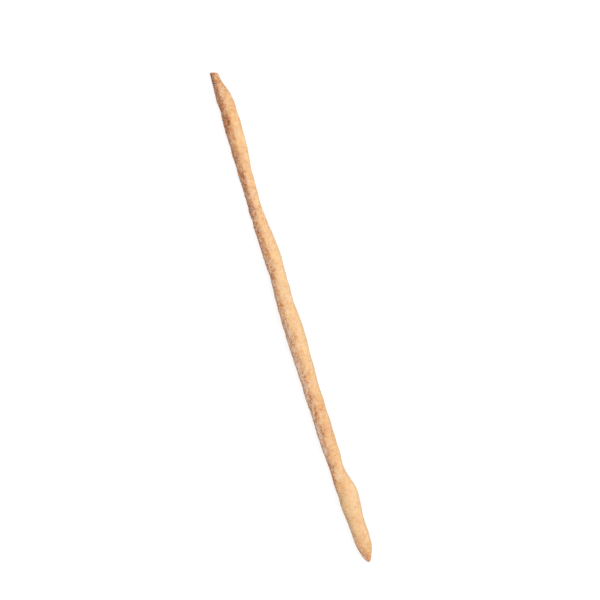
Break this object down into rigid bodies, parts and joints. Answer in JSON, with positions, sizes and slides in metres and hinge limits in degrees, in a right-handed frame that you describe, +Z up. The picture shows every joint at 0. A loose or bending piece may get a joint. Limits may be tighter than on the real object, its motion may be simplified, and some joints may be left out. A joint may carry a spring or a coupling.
{
  "type": "grissini breadstick",
  "caption": "Long thin hand-stretched breadstick, uneven along its length, with one blunt cut end and one pointed end, lying on a flat baked underside.",
  "frame": {"origin": "middle of the base of the bounding box, on the surface that the stick lies on", "axes": "+X along the stick, towards its pointed end; +Y across it, towards its smooth pale side; +Z up"},
  "size_m": [0.26, 0.0112, 0.0092],
  "materials": {
    "crust": "dry matte golden crust, browner and floury along one side"
  },
  "bodies": {
    "root": {"breadstick": "crust"}
  },
  "joints": []
}
